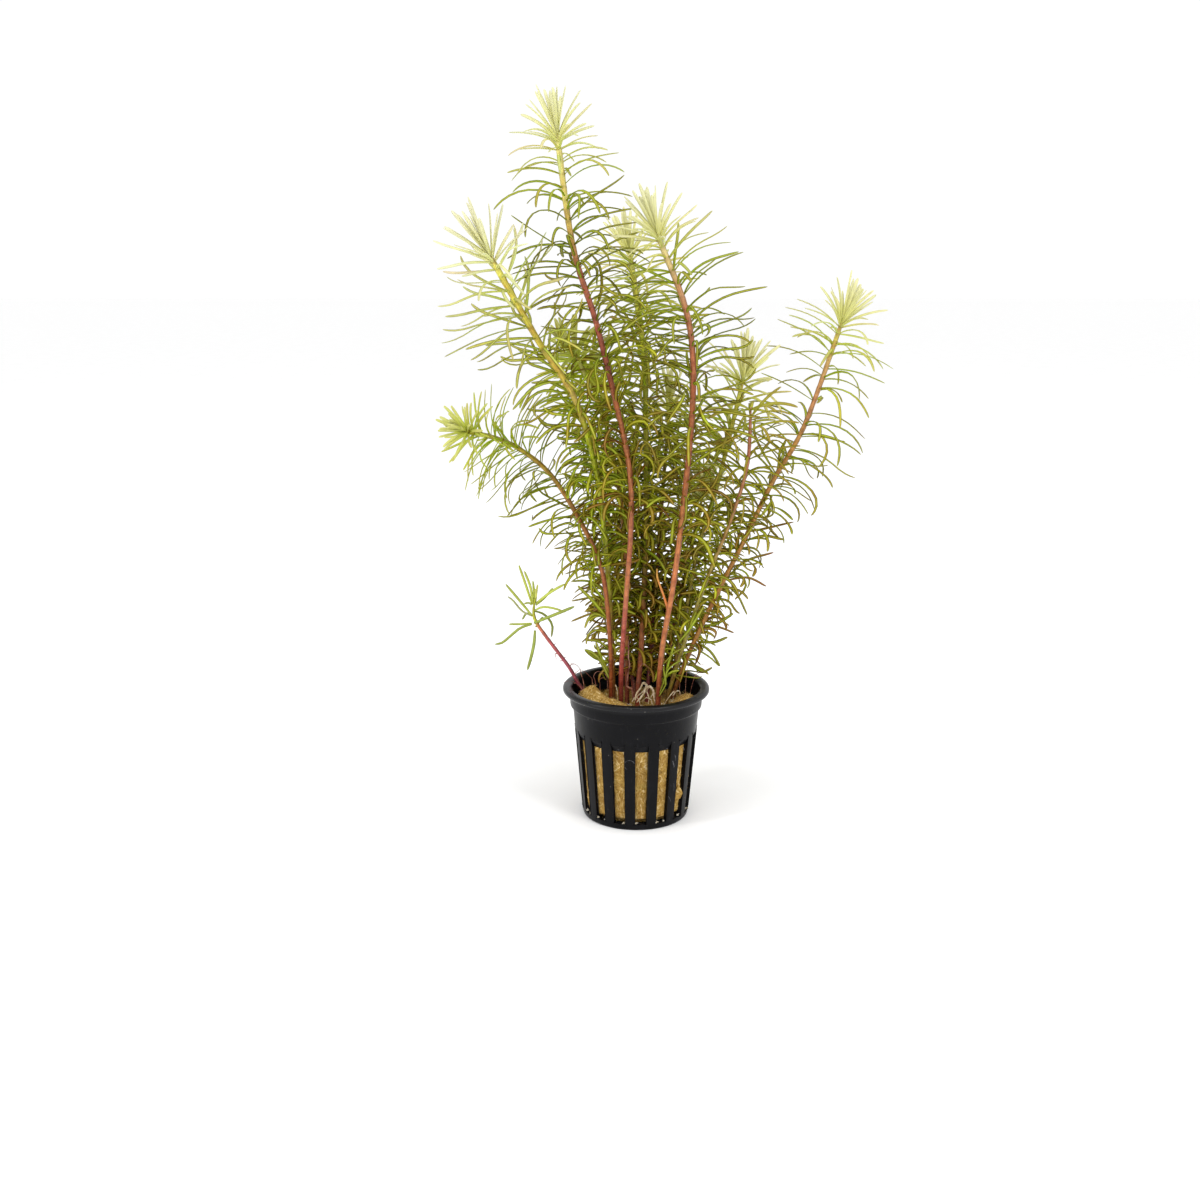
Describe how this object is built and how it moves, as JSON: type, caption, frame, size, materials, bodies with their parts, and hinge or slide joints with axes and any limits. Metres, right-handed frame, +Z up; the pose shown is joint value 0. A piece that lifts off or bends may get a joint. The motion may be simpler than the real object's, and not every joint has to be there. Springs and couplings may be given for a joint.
{
  "type": "potted aquarium plant",
  "caption": "Bunch of upright aquarium stems with whorls of narrow leaves, held by a stone-wool plug in a round slotted net pot that stands on its flat base.",
  "frame": {"origin": "centre of the net pot's flat base", "axes": "+Z up along the pot's axis, the front that the picture shows faces -Y"},
  "size_m": [0.1684, 0.0986, 0.2568],
  "materials": {
    "pot_plastic": "satin",
    "stone_wool": "matte",
    "red_tissue": "satin",
    "green_tissue": "satin",
    "yellow_green_tissue": "satin",
    "bronze_tissue": "satin",
    "pink_tissue": "satin"
  },
  "bodies": {
    "root": {"net_pot": "pot_plastic", "stone_wool_plug": "stone_wool", "stem_tallest": "red_tissue", "stem_upper_left": "yellow_green_tissue", "stem_far_left": "bronze_tissue", "stem_short_left": "green_tissue", "stem_centre": "green_tissue", "stem_upper_right": "red_tissue", "stem_right": "green_tissue", "stem_slim_right": "pink_tissue", "stem_far_right": "bronze_tissue", "side_shoot": "pink_tissue", "stem_back_centre": "bronze_tissue", "stem_back_left": "bronze_tissue", "stem_back_right": "green_tissue"}
  },
  "joints": []
}
